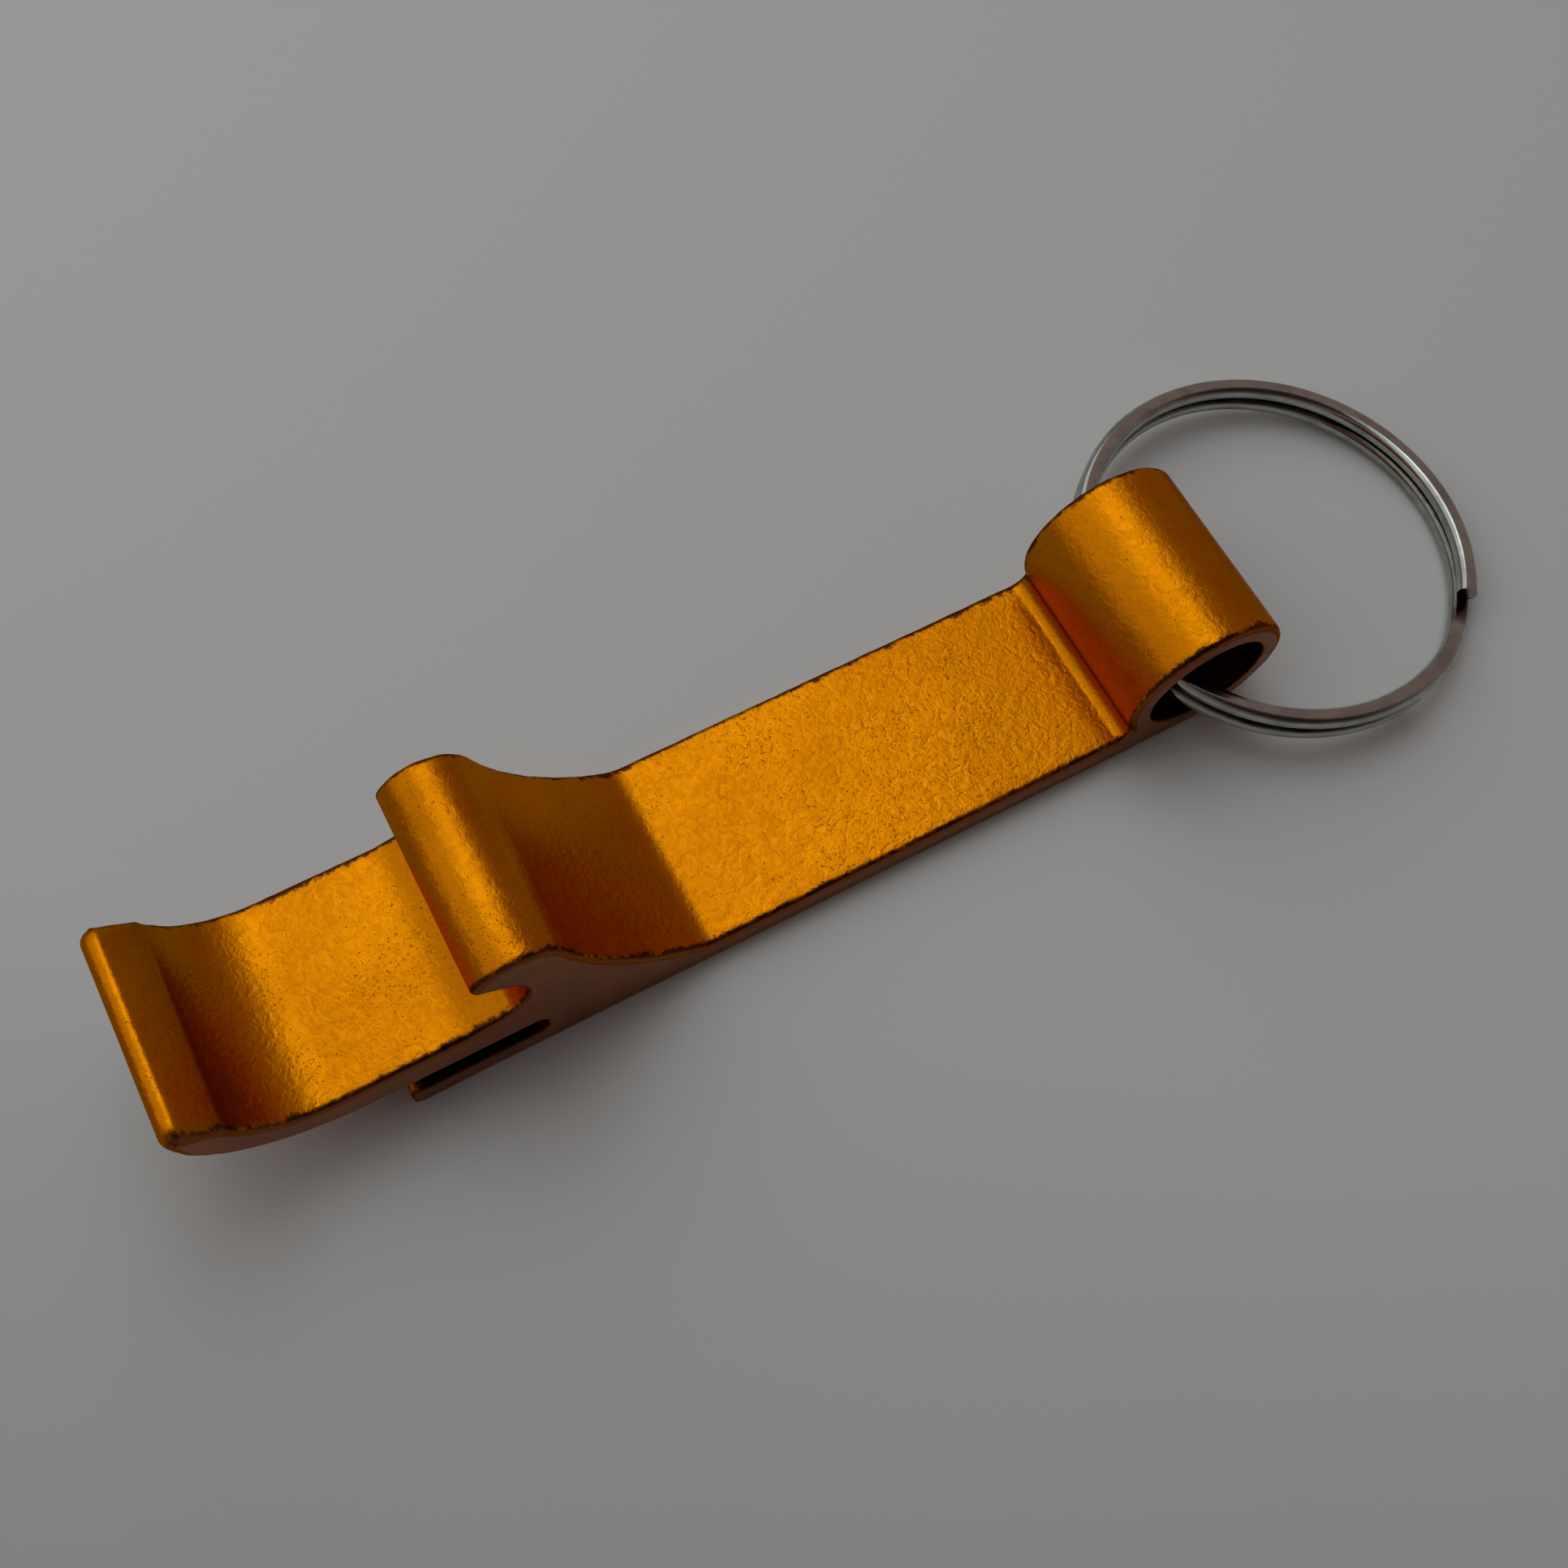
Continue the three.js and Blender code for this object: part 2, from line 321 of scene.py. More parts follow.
def makeWire(look):
    material, tree, shader, place = newFinish("nickel_wire")
    fromGap = addNode(tree, "ShaderNodeAttribute", attribute_name="fromGap").outputs["Fac"]
    cloud = noise(tree, place, 1 / (look["cloudSize"] * mm), 4, 0.6)
    fine = noise(tree, place, 1 / (look["grainSize"] * mm), 3, 0.6)
    plate = mixColours(tree, remap(tree, cloud, 0.35, 0.65), look["bright"], look["dull"])
    # darker towards the gap between the coils, along a ragged line
    ragged = calc(tree, "MULTIPLY", calc(tree, "SUBTRACT", cloud, 0.5), look["nearGapRagged"])
    nearGapMask = remap(tree, calc(tree, "ADD", fromGap, ragged), *look["nearGapReach"])
    tree.links.new(mixColours(tree, nearGapMask, plate, look["nearGapColour"]), shader.inputs["Base Color"])
    tree.links.new(remap(tree, cloud, 0.3, 0.7, *look["roughness"]), shader.inputs["Roughness"])
    tree.links.new(bump(tree, fine, look["grainDepth"] * mm), shader.inputs["Normal"])
    shader.inputs["Metallic"].default_value = 1
    layOut(tree)
    return material


skin = makeSkin(skinFinish)
sawnFace = makeSawnFace(sawnFinish)
nickel = makeWire(wireFinish)
print("finishes made")


# One aluminium extrusion, sawn off square and tumbled. Sizes are in millimetres and degrees.
opener = {
    "handleThickness": 2.0,
    "hookFromEye": 42.15,
    "mouthLength": 10.3,
    "boreDiameter": 7.3,
    "eyeWall": 1.35,
    "eyeFillet": 0.8,
    "hookHeight": 13.6,
    "crownRadius": 2.75,
    "crownAngles": (32, 148),
    "noseRounding": 0.45,
    "notchRadius": 2.3,
    "notchSetBack": 2.1,
    "notchDrop": 1.85,
    "notchAngles": (60, -40),
    "notchFootFillet": 1.0,
    "footSlope": 15.6,
    "footReach": 3.4,
    "footBlend": 5.0,
    "rampRadius": 19.0,
    "rampFillet": 2.0,
    "rampSteepness": 71.0,
    "creaseBehindCrown": 2.65,
    "creaseBelowTop": 1.9,
    "plateThickness": 2.55,
    "lipHeight": 12.1,
    "lipInnerRadius": 5.1,
    "lipInnerSweep": 78.0,
    "lipLandSlope": 46.0,
    "lipLandRounding": 0.45,
    "lipOuterRounding": 0.8,
    "tipRadius": 8.5,
    "tipCurlLead": 0.7,
    "tongueThickness": 1.7,
    "tongueRounding": 0.6,
    "tongueOverhang": 7.35,
    "slotHeight": 2.0,
    "slotDepth": 8.0,
    "slotRounding": 0.7,
    "edgeRounding": 0.4,  # tumbled edges along both sawn faces
    "boreEdge": 0.14,  # the same edge where the tumbling hardly reached
    "notchEdge": 0.22,
    "slotEdge": 0.16,
    "slotEdgeLead": 1.0,  # the slot's edge starts this far before the tongue's tip
    "tongueEdgeReach": 2.0,  # and gives way this far behind it, underneath
    "tipEdge": 0.95,  # the lip's corners, worn round
    "boreShade": 0.86,  # how dark the painted shade is in each hollow and crease, from 0 to 1
    "curlShade": 0.38,
    "eyeFootShade": 0.22,
    "eyeFootFrom": 120.0,  # degrees round the eye, where the painted shade on its wall starts
    "creaseShade": 0.85,
    "creaseSweep": 22.0,
    "slotShadeFrom": 0.4,  # where the painted shade starts, behind the tongue's tip, on the slot's roof and on the tongue
    "tongueShadeFrom": 0.9,
    "edgeSpread": 9,  # outline points over which one edge size runs into the next
    "spacing": 0.22,  # between outline points
    "closest": 0.0275,  # points nearer than this are left out
    "chordError": 0.0015,
    "edgeSteps": 7,
    "wallSteps": 30,
    "unevenness": 0.16,  # of the edge rounding
    "unevennessSize": 0.9,
    "sidesApart": 10.0,  # between where the two edges read the noise, so that they differ
    "wobble": 0.035,  # of the walls
    "wobbleSize": 3.5,
    "seed": 4.0,
}


def heading(angle):
    return Vector((math.cos(math.radians(angle)), math.sin(math.radians(angle))))


def onCircle(centre, radius, angle):
    turn = math.radians(angle)
    return Vector((centre.x + radius * math.cos(turn), centre.y + radius * math.sin(turn)))


def angleOf(start, end):
    return math.degrees(math.atan2(end.y - start.y, end.x - start.x))


def arc(centre, radius, startAngle, endAngle):
    finest = 2 * math.degrees(math.acos(1 - opener["chordError"] / radius))
    facet = min(finest, math.degrees(opener["spacing"] / radius))
    sweep = endAngle - startAngle
    count = max(2, math.ceil(abs(sweep) / facet))
    return [onCircle(centre, radius, startAngle + sweep * i / count) for i in range(count + 1)]


# Fillet of a corner between two straight edges, no larger than the shorter edge has room for.
def roundCorner(before, corner, after, radius):
    back = before - corner
    ahead = after - corner
    room = min(back.length, ahead.length)
    back.normalize()
    ahead.normalize()
    halfAngle = math.acos(max(-1, min(1, back.dot(ahead)))) / 2
    touch = min(radius / math.tan(halfAngle), room)
    fillet = touch * math.tan(halfAngle)
    centre = corner + (back + ahead).normalized() * fillet / math.sin(halfAngle)
    start = angleOf(centre, corner + back * touch)
    end = angleOf(centre, corner + ahead * touch)
    return arc(centre, fillet, start, start + (end - start + 540) % 360 - 180)


# Centre of a fillet inside a circle that also touches a level line. side is -1 for the circle's left
# and 1 for its right, and up is 1 for a fillet above the line and -1 for one below it.
def insideFillet(centre, radius, level, fillet, side, up):
    height = level + up * fillet
    reach = math.sqrt((radius - fillet) ** 2 - (centre.y - height) ** 2)
    return Vector((centre.x + side * reach, height))


# Where a line from a crosses a line from b, each with its angle.
def crossing(a, angleA, b, angleB):
    alongA = heading(angleA)
    alongB = heading(angleB)
    between = b - a
    distance = (between.x * alongB.y - between.y * alongB.x) / (alongA.x * alongB.y - alongA.y * alongB.x)
    return a + alongA * distance


# Each stretch of the outline is a list of points, the size of the edge along it and, where shade is
# painted on it, how dark that painted shade is at its two ends.
def eyeStretches(o, eye, eyeRadius):
    edge = o["edgeRounding"]
    footFrom = o["eyeFootFrom"]
    filletHeight = o["handleThickness"] + o["eyeFillet"]
    span = math.sqrt((eyeRadius + o["eyeFillet"]) ** 2 - (eyeRadius - filletHeight) ** 2)
    fillet = Vector((eye.x - span, filletHeight))
    contact = angleOf(fillet, eye)
    creaseEnd = contact - o["creaseSweep"]
    return [
        (arc(eye, eyeRadius, -90, footFrom), edge),
        (arc(eye, eyeRadius, footFrom, 180 + contact), edge, (0, o["eyeFootShade"])),
        (arc(fillet, o["eyeFillet"], contact, creaseEnd), edge, (o["creaseShade"], 0)),
        (arc(fillet, o["eyeFillet"], creaseEnd, -90), edge),
    ]


def hookStretches(o, crownX, plateTop, curlX):
    edge = o["edgeRounding"]
    notchEdge = o["notchEdge"]
    crown = Vector((crownX, o["hookHeight"] - o["crownRadius"]))
    crease = Vector((crownX + o["creaseBehindCrown"], o["hookHeight"] - o["creaseBelowTop"]))
    rampCentre = onCircle(crease, o["rampRadius"], 90 - o["rampSteepness"])
    foot = insideFillet(rampCentre, o["rampRadius"], o["handleThickness"], o["rampFillet"], -1, 1)
    rampStart = 360 + angleOf(rampCentre, foot)
    notch = Vector((crownX - o["notchSetBack"], crown.y - o["notchDrop"]))
    topAngle, footAngle = o["notchAngles"]
    notchTop = onCircle(notch, o["notchRadius"], topAngle)
    notchFoot = onCircle(notch, o["notchRadius"], footAngle)
    noseStart = onCircle(crown, o["crownRadius"], o["crownAngles"][1])
    nose = crossing(noseStart, o["crownAngles"][1] + 90, notchTop, topAngle + 90)
    plateEdge = Vector((crownX - o["footReach"], plateTop))
    footCorner = crossing(notchFoot, footAngle - 90, plateEdge, 180 + o["footSlope"])
    plateEnd = Vector((curlX, plateTop))
    return [
        (arc(foot, o["rampFillet"], 270, rampStart), edge),
        (arc(rampCentre, o["rampRadius"], rampStart, 270 - o["rampSteepness"]), edge),
        (arc(crown, o["crownRadius"], *o["crownAngles"]), edge),
        (roundCorner(noseStart, nose, notchTop, o["noseRounding"]), edge),
        (arc(notch, o["notchRadius"], topAngle, footAngle), notchEdge),
        (roundCorner(notchFoot, footCorner, plateEdge, o["notchFootFillet"]), notchEdge),
        (roundCorner(footCorner, plateEdge, plateEnd, o["footBlend"]), edge),
    ]


def tipStretches(o, curlX, plateTop, plateUnderside):
    edge = o["edgeRounding"]
    tipEdge = o["tipEdge"]
    middle = -90 - o["lipInnerSweep"] / 2
    innerEndAngle = -90 - o["lipInnerSweep"]
    inner = Vector((curlX, plateTop + o["lipInnerRadius"]))
    outer = Vector((curlX + o["tipCurlLead"], plateUnderside + o["tipRadius"]))
    innerEnd = onCircle(inner, o["lipInnerRadius"], innerEndAngle)
    landTop = crossing(innerEnd, 180 - o["lipLandSlope"], Vector((curlX, o["lipHeight"])), 180)
    shoulder = insideFillet(outer, o["tipRadius"], o["lipHeight"], o["lipOuterRounding"], -1, -1)
    outerStart = 360 + angleOf(outer, shoulder)
    shoulderTop = Vector((shoulder.x, o["lipHeight"]))
    return [
        (arc(inner, o["lipInnerRadius"], -90, middle), edge),
        (arc(inner, o["lipInnerRadius"], middle, innerEndAngle), edge, (0, o["curlShade"])),
        (roundCorner(innerEnd, landTop, shoulderTop, o["lipLandRounding"]), tipEdge),
        (arc(shoulder, o["lipOuterRounding"], 90, outerStart), tipEdge),
        (arc(outer, o["tipRadius"], outerStart, 270), edge),
    ]


def slotStretches(o, curlX, tongueTipX, plateUnderside, eyeX):
    slotEndX = tongueTipX + o["slotDepth"]
    topStart = Vector((curlX, plateUnderside))
    topEnd = Vector((slotEndX, plateUnderside))
    bottomEnd = Vector((slotEndX, o["tongueThickness"]))
    tongueTop = Vector((tongueTipX, o["tongueThickness"]))
    tongueBottom = Vector((tongueTipX, 0))
    lead = [Vector((tongueTipX - o["slotEdgeLead"], plateUnderside)), Vector((tongueTipX, plateUnderside))]
    roof = [Vector((tongueTipX + o["slotShadeFrom"], plateUnderside))]
    bed = [Vector((tongueTipX + o["tongueShadeFrom"], o["tongueThickness"]))]
    under = [Vector((tongueTipX + o["tongueEdgeReach"], 0)), Vector((slotEndX, 0))]
    edge = o["slotEdge"]
    # the slot gets full painted shade
    dark = (1, 1)
    return [
        (lead, edge),
        (roof, edge, dark),
        (roundCorner(topStart, topEnd, bottomEnd, o["slotRounding"]), edge, dark),
        (roundCorner(topEnd, bottomEnd, tongueTop, o["slotRounding"]), edge, dark),
        (bed, edge, dark),
        (roundCorner(bottomEnd, tongueTop, tongueBottom, o["tongueRounding"]), edge),
        (roundCorner(tongueTop, tongueBottom, Vector((eyeX, 0)), o["tongueRounding"]), edge),
        (under, o["edgeRounding"]),
    ]


# Joins the stretches into one closed loop of evenly spaced points, each with its edge size and how
# dark the painted shade on it is.
def closedLoop(stretches, o):
    raw = []
    for points, edge, *shades in stretches:
        first, last = shades[0] if shades else (0, 0)
        for number, point in enumerate(points):
            paintedShade = first + (last - first) * number / max(1, len(points) - 1)
            raw.append((point, edge, paintedShade))
    loop = []
    for number, (point, edge, paintedShade) in enumerate(raw):
        following, nextEdge, nextPaintedShade = raw[(number + 1) % len(raw)]
        gap = (following - point).length
        if gap < o["closest"]:
            continue
        steps = max(1, math.ceil(gap / o["spacing"]))
        for step in range(steps):
            share = step / steps
            edgeHere = edge + (nextEdge - edge) * share
            paintedShadeHere = paintedShade + (nextPaintedShade - paintedShade) * share
            loop.append((point.lerp(following, share), edgeHere, paintedShadeHere))
    places, edges, paintedShades = zip(*loop)
    count = len(loop)
    window = range(-o["edgeSpread"], o["edgeSpread"] + 1)
    soft = [sum(edges[(i + j) % count] for j in window) / len(window) for i in range(count)]
    return places, soft, paintedShades


# The flat outline as wire: the body lies to the left of its direction.
def outlineMesh(loops):
    places = []
    wires = []
    inwards = []
    edges = []
    paintedShades = []
    for points, sizes, paintedShadeAmounts in loops:
        paintedShades += paintedShadeAmounts
        first = len(places)
        count = len(points)
        for i, point in enumerate(points):
            along = (points[(i + 1) % count] - points[i - 1]).normalized()
            places.append((point.x * mm, point.y * mm, 0))
            inwards += (-along.y, along.x, 0)
            edges.append(sizes[i] * mm)
            wires.append((first + i, first + (i + 1) % count))
    mesh = bpy.data.meshes.new("outline")
    mesh.from_pydata(places, wires, [])
    mesh.attributes.new("inward", "FLOAT_VECTOR", "POINT").data.foreach_set("vector", inwards)
    mesh.attributes.new("edgeSize", "FLOAT", "POINT").data.foreach_set("value", edges)
    mesh.attributes.new("paintedShade", "FLOAT", "POINT").data.foreach_set("value", paintedShades)
    return mesh


# Node group: where an outline point goes on the rounded edge. Turn 0 is on the sawn face, 1 on the wall.
def edgePlaceTree(o):
    inputs = [
        ("Turn", "NodeSocketFloat"),
        ("Side", "NodeSocketFloat"),
        ("Body width", "NodeSocketFloat"),
        ("Unevenness", "NodeSocketFloat"),
        ("Seed", "NodeSocketFloat"),
    ]
    tree, given, result = newNodeTree("edge place", inputs, [("Place", "NodeSocketVector")])
    base = storedNumber(tree, "base", "FLOAT_VECTOR")
    inward = storedNumber(tree, "inward", "FLOAT_VECTOR")
    edgeSize = storedNumber(tree, "edgeSize")
    shift = calc(tree, "MULTIPLY", given["Side"], o["sidesApart"] * mm)
    apart = addNode(tree, "ShaderNodeCombineXYZ", {"Z": shift}).outputs[0]
    wires = {
        "Vector": calcVector(tree, "ADD", base, apart),
        "W": given["Seed"],
        "Scale": 1 / (o["unevennessSize"] * mm),
        "Detail": 2.0,
    }
    rough = addNode(tree, "ShaderNodeTexNoise", wires, noise_dimensions="4D").outputs["Fac"]
    both = calc(tree, "MULTIPLY_ADD", rough, 4.0, -2.0)  # from 0 to 1 becomes from -2 to 2
    swing = calc(tree, "MULTIPLY", both, given["Unevenness"])
    size = calc(tree, "MULTIPLY", edgeSize, calc(tree, "ADD", swing, 1.0))
    angle = calc(tree, "MULTIPLY", given["Turn"], math.pi / 2)
    inset = calc(tree, "MULTIPLY", size, calc(tree, "SUBTRACT", 1.0, calc(tree, "SINE", angle)))
    depth = calc(tree, "MULTIPLY", size, calc(tree, "SUBTRACT", 1.0, calc(tree, "COSINE", angle)))
    half = calc(tree, "MULTIPLY", given["Body width"], 0.5)
    height = calc(tree, "MULTIPLY", calc(tree, "SUBTRACT", half, depth), given["Side"])
    level = addNode(tree, "ShaderNodeCombineXYZ", {"Z": height}).outputs[0]
    moved = calcVector(tree, "ADD", base, vectorTimes(tree, inward, inset))
    tree.links.new(calcVector(tree, "ADD", moved, level), result.inputs["Place"])
    layOut(tree)
    return tree


# Node tree: the outline pulled through the width with rounded edges, and closed by the two sawn faces.
def extrusionTree(edgePlace):
    inputs = [
        ("Outline", "NodeSocketGeometry"),
        ("Body width", "NodeSocketFloat"),
        ("Edge steps", "NodeSocketInt"),
        ("Wall steps", "NodeSocketInt"),
        ("Unevenness", "NodeSocketFloat"),
        ("Wobble", "NodeSocketFloat"),
        ("Wobble size", "NodeSocketFloat"),
        ("Seed", "NodeSocketFloat"),
        ("Skin", "NodeSocketMaterial"),
        ("Sawn face", "NodeSocketMaterial"),
    ]
    tree, given, result = newNodeTree("sawn extrusion", inputs, [("Body", "NodeSocketGeometry")])

    def placeOn(side, turn):
        wires = {"Turn": turn, "Side": side}
        wires.update({name: given[name] for name in ("Body width", "Unevenness", "Seed")})
        return addNode(tree, "GeometryNodeGroup", wires, node_tree=edgePlace).outputs["Place"]

    position = addNode(tree, "GeometryNodeInputPosition").outputs[0]
    wires = {"Geometry": given["Outline"], "Name": "base", "Value": position}
    outline = addNode(tree, "GeometryNodeStoreNamedAttribute", wires, data_type="FLOAT_VECTOR").outputs[0]
    wires = {"Geometry": outline, "Position": placeOn(-1.0, 0.0)}
    firstRim = addNode(tree, "GeometryNodeSetPosition", wires).outputs[0]

    # one strip of faces for each step across the width
    steps = calc(tree, "MULTIPLY_ADD", given["Edge steps"], 2.0, given["Wall steps"])
    begin = tree.nodes.new("GeometryNodeRepeatInput")
    finish = tree.nodes.new("GeometryNodeRepeatOutput")
    begin.pair_with_output(finish)
    finish.repeat_items.new("BOOLEAN", "Rim")
    tree.links.new(steps, begin.inputs["Iterations"])
    tree.links.new(firstRim, begin.inputs["Geometry"])
    begin.inputs["Rim"].default_value = True
    wires = {"Mesh": begin.outputs["Geometry"], "Selection": begin.outputs["Rim"], "Offset Scale": 0.0}
    strip = addNode(tree, "GeometryNodeExtrudeMesh", wires, mode="EDGES")
    row = calc(tree, "ADD", begin.outputs["Iteration"], 1.0)
    left = calc(tree, "SUBTRACT", steps, row)
    turnFar = calc(tree, "MINIMUM", calc(tree, "DIVIDE", row, given["Edge steps"]), 1.0)
    turnNear = calc(tree, "MINIMUM", calc(tree, "DIVIDE", left, given["Edge steps"]), 1.0)
    across = calc(tree, "DIVIDE", calc(tree, "SUBTRACT", row, given["Edge steps"]), given["Wall steps"])
    wires = {0: across, 4: placeOn(-1.0, turnFar), 5: placeOn(1.0, turnNear)}
    mix = addNode(tree, "ShaderNodeMix", wires, data_type="VECTOR")
    top = strip.outputs["Top"]
    wires = {"Geometry": strip.outputs["Mesh"], "Selection": top, "Position": mix.outputs[1]}
    placed = addNode(tree, "GeometryNodeSetPosition", wires).outputs[0]
    onWall = calc(tree, "MINIMUM", turnFar, turnNear)
    wires = {"Geometry": placed, "Selection": top, "Name": "wall", "Value": onWall}
    marked = addNode(tree, "GeometryNodeStoreNamedAttribute", wires, data_type="FLOAT").outputs[0]
    tree.links.new(marked, finish.inputs["Geometry"])
    tree.links.new(top, finish.inputs["Rim"])

    # slow waves in the walls, which fade out on the edges
    waveScale = calc(tree, "DIVIDE", 1.0, given["Wobble size"])
    wires = {"Vector": position, "W": given["Seed"], "Scale": waveScale, "Detail": 2.0}
    wave = addNode(tree, "ShaderNodeTexNoise", wires, noise_dimensions="4D").outputs["Fac"]
    swing = calc(tree, "MULTIPLY", calc(tree, "SUBTRACT", wave, 0.5), given["Wobble"])
    swing = calc(tree, "MULTIPLY", swing, storedNumber(tree, "wall"))
    normal = addNode(tree, "GeometryNodeInputNormal").outputs[0]
    wires = {"Geometry": finish.outputs["Geometry"], "Offset": vectorTimes(tree, normal, swing)}
    walls = addNode(tree, "GeometryNodeSetPosition", wires).outputs[0]

    pieces = addNode(tree, "GeometryNodeJoinGeometry")
    tree.links.new(walls, pieces.inputs[0])
    for side in (-1.0, 1.0):
        wires = {"Geometry": outline, "Position": placeOn(side, 0.0)}
        rim = addNode(tree, "GeometryNodeSetPosition", wires).outputs[0]
        curve = addNode(tree, "GeometryNodeMeshToCurve", {0: rim}).outputs[0]
        filled = addNode(tree, "GeometryNodeFillCurve", {0: curve}).outputs[0]
        half = calc(tree, "MULTIPLY", given["Body width"], side / 2)
        lift = addNode(tree, "ShaderNodeCombineXYZ", {"Z": half}).outputs[0]
        wires = {"Geometry": filled, "Offset": lift}
        raised = addNode(tree, "GeometryNodeSetPosition", wires).outputs[0]
        wires = {"Geometry": raised, "Name": "sawn", "Value": True}
        face = addNode(tree, "GeometryNodeStoreNamedAttribute", wires, data_type="BOOLEAN", domain="FACE")
        tree.links.new(face.outputs[0], pieces.inputs[0])
    wires = {"Geometry": pieces.outputs[0], "Distance": mergeDistance}
    joined = addNode(tree, "GeometryNodeMergeByDistance", wires).outputs[0]
    wires = {"Geometry": joined, "Rotation": (math.pi / 2, 0, 0)}
    upright = addNode(tree, "GeometryNodeTransform", wires).outputs[0]
    sawn = storedNumber(tree, "sawn", "BOOLEAN")
    smooth = calc(tree, "SUBTRACT", 1.0, sawn)
    shaded = addNode(tree, "GeometryNodeSetShadeSmooth", {0: upright, "Shade Smooth": smooth}).outputs[0]
    whole = addNode(tree, "GeometryNodeRealizeInstances", {0: shaded}).outputs[0]
    skinned = addNode(tree, "GeometryNodeSetMaterial", {0: whole, "Material": given["Skin"]}).outputs[0]
    wires = {0: skinned, "Selection": sawn, "Material": given["Sawn face"]}
    tree.links.new(addNode(tree, "GeometryNodeSetMaterial", wires).outputs[0], result.inputs["Body"])
    layOut(tree)
    return tree


def buildOpener(o):
    lowest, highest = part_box("opener_body")
    eyeRadius = o["boreDiameter"] / 2 + o["eyeWall"]
    plateUnderside = o["tongueThickness"] + o["slotHeight"]
    plateTop = plateUnderside + o["plateThickness"]
    eye = Vector((eyeAxis.x, eyeAxis.z))
    crownX = eye.x - o["hookFromEye"]
    tongueTipX = crownX - o["tongueOverhang"]
    curlX = crownX - o["mouthLength"]
    stretches = eyeStretches(o, eye, eyeRadius)
    stretches += hookStretches(o, crownX, plateTop, curlX)
    stretches += tipStretches(o, curlX, plateTop, plateUnderside)
    stretches += slotStretches(o, curlX, tongueTipX, plateUnderside, eye.x)
    circle = arc(eye, o["boreDiameter"] / 2, 360, 0)[:-1]
    bore = [(circle, o["boreEdge"], (o["boreShade"], o["boreShade"]))]
    mesh = outlineMesh([closedLoop(stretches, o), closedLoop(bore, o)])
    built = runTree(extrusionTree(edgePlaceTree(o)), mesh, {
        "Body width": highest[1] - lowest[1],
        "Edge steps": o["edgeSteps"],
        "Wall steps": o["wallSteps"],
        "Unevenness": o["unevenness"],
        "Wobble": o["wobble"] * mm,
        "Wobble size": o["wobbleSize"] * mm,
        "Seed": o["seed"],
        "Skin": skin,
        "Sawn face": sawnFace,
    })
    shape = bmesh.new()
    shape.from_mesh(built)
    bmesh.ops.recalc_face_normals(shape, faces=shape.faces)
    shape.to_mesh(built)
    shape.free()
    for name in ("base", "inward", "edgeSize"):
        built.attributes.remove(built.attributes[name])
    return pieceFrom(built, "anodised_body")


body = buildOpener(opener)
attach(body, "opener")
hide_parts("opener_body")
print("opener body built:", len(body.data.polygons), "faces")


# Round wire, pressed flat on two sides and wound two turns. Angles run round the ring's own axis.
splitRing = {
    "outerDiameter": 25.0,  # millimetres
    "wireDiameter": 1.18,
    "flatDepth": 0.08,
    "coilGap": 0.1,
    "topEndAngle": -41.0,
    "bottomEndAngle": -76.0,
    "endGap": 2.5,
    "seatAngle": 40.0,  # where the wire rests in the bore, from straight down
    "seatClearance": 0.2,
    "sideShift": 0.5,
    "pathPoints": 560,
    "sectionPoints": 28,
}


